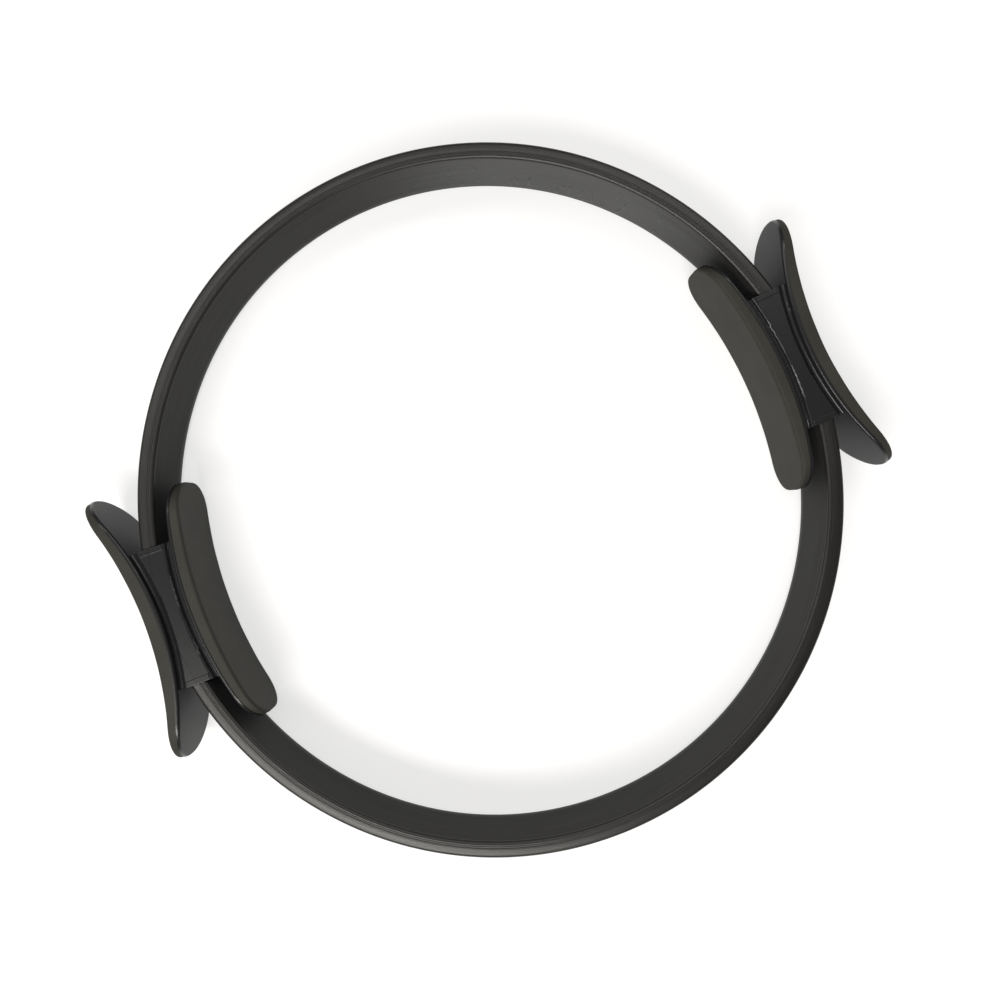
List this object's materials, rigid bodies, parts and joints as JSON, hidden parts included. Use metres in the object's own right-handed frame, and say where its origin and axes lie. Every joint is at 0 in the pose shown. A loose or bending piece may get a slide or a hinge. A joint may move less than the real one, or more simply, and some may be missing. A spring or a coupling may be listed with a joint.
{
  "type": "pilates ring",
  "caption": "Springy foam-covered hoop with a padded handle on each side, squeezed between hands or legs for resistance exercise.",
  "frame": {"origin": "centre of the hoop, half way up its width", "axes": "+X towards the right handle, +Y towards the crown of the upper arc, +Z along the hoop's axis, up as the ring lies flat"},
  "size_m": [0.402, 0.3638, 0.041],
  "materials": {
    "spring_strip": "satin",
    "foam_sleeve": "matte",
    "handle_shell": "gloss",
    "pad_foam": "matte",
    "pad_tape": "satin",
    "splice_steel": "satin",
    "screw_steel": "satin"
  },
  "bodies": {
    "left_handle": {"left_outer_shell": "handle_shell", "left_inner_shell": "handle_shell", "left_outer_pad": "pad_foam", "left_inner_pad": "pad_foam", "left_outer_pad_tape": "pad_tape", "left_inner_pad_tape": "pad_tape", "left_splice_plate": "splice_steel", "left_screws": "screw_steel"},
    "right_handle": {"right_outer_shell": "handle_shell", "right_inner_shell": "handle_shell", "right_outer_pad": "pad_foam", "right_inner_pad": "pad_foam", "right_outer_pad_tape": "pad_tape", "right_inner_pad_tape": "pad_tape", "right_splice_plate": "splice_steel", "right_screws": "screw_steel"},
    "upper_strip": {"upper_spring_strip": "spring_strip"},
    "upper_sleeve": {"upper_foam_sleeve": "foam_sleeve"},
    "lower_strip": {"lower_spring_strip": "spring_strip"},
    "lower_sleeve": {"lower_foam_sleeve": "foam_sleeve"}
  },
  "joints": [
    {"name": "squeeze", "type": "slide", "parent": "left_handle", "child": "right_handle", "axis": [-1, 0, 0], "range_m": [-0.025, 0.07], "stiffness_N_per_m": 1660, "deforming": ["upper_spring_strip", "upper_foam_sleeve", "lower_spring_strip", "lower_foam_sleeve"]},
    {"name": "upper_strip_bow", "type": "slide", "parent": "left_handle", "child": "upper_strip", "axis": [-0.7378, 0.6751, 0], "range_m": [-0.0175, 0.048]},
    {"name": "lower_strip_bow", "type": "slide", "parent": "left_handle", "child": "lower_strip", "axis": [-0.7378, -0.6751, 0], "range_m": [-0.0175, 0.048]},
    {"name": "upper_sleeve_bow", "type": "slide", "parent": "right_handle", "child": "upper_sleeve", "axis": [0.7378, 0.6751, 0], "range_m": [-0.0175, 0.048]},
    {"name": "lower_sleeve_bow", "type": "slide", "parent": "right_handle", "child": "lower_sleeve", "axis": [0.7378, -0.6751, 0], "range_m": [-0.0175, 0.048]}
  ],
  "couplings": [
    {"joint": "upper_strip_bow", "follows": "squeeze", "ratio": 0.67772},
    {"joint": "lower_strip_bow", "follows": "squeeze", "ratio": 0.67772},
    {"joint": "upper_sleeve_bow", "follows": "squeeze", "ratio": 0.67772},
    {"joint": "lower_sleeve_bow", "follows": "squeeze", "ratio": 0.67772}
  ]
}
